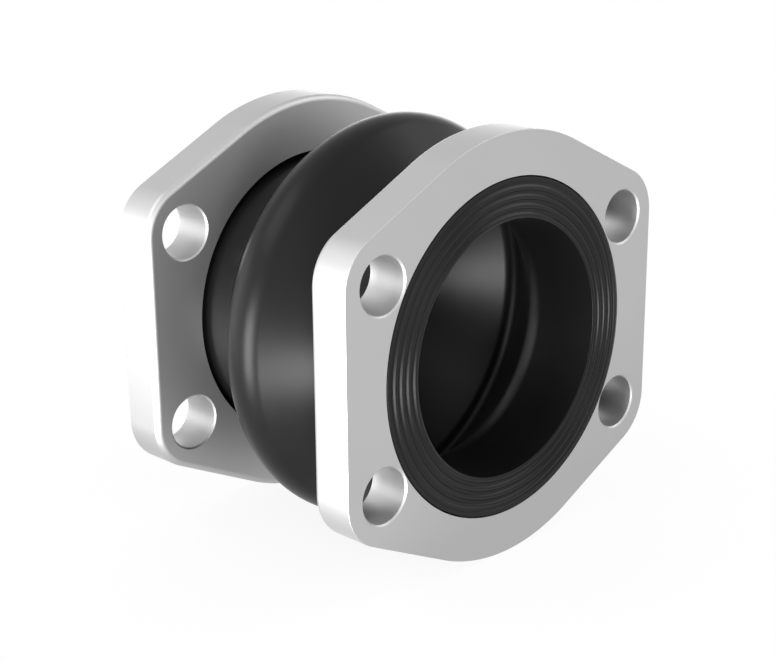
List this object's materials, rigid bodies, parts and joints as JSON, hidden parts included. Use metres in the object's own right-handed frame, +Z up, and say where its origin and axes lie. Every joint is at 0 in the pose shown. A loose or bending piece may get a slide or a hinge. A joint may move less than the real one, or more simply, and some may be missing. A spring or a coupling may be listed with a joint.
{
  "type": "flanged expansion joint",
  "caption": "Rubber bellows with one arch and ridged sealing faces, held between two loose bolt flanges; takes up movement between two pipe ends.",
  "frame": {"origin": "the centre of the joint: on its axis, halfway between the two sealing faces", "axes": "+Y runs along the joint's axis from the front flange to the rear one, +X across the wide bolt spacing, +Z up with the rounded ends of the flanges at top and bottom"},
  "size_m": [0.1352, 0.1, 0.1318],
  "materials": {
    "flange_metal": "fine satin cast and machined aluminium, bare",
    "rubber": "smooth moulded black rubber with a soft sheen"
  },
  "bodies": {
    "rear_flange": {"rear_flange": "flange_metal"},
    "bellows": {"bellows": "rubber"},
    "front_flange": {"front_flange": "flange_metal"}
  },
  "joints": [
    {"name": "flange_swivel", "type": "hinge", "parent": "rear_flange", "child": "bellows", "pos_m": [0, 0.0426, 0], "axis": [0, 1, 0], "continuous": true},
    {"name": "length_change", "type": "slide", "parent": "bellows", "child": "front_flange", "axis": [0, 1, 0], "range_m": [-0.01, 0.015], "stiffness_N_per_m": 60000, "deforming": ["bellows"]}
  ]
}
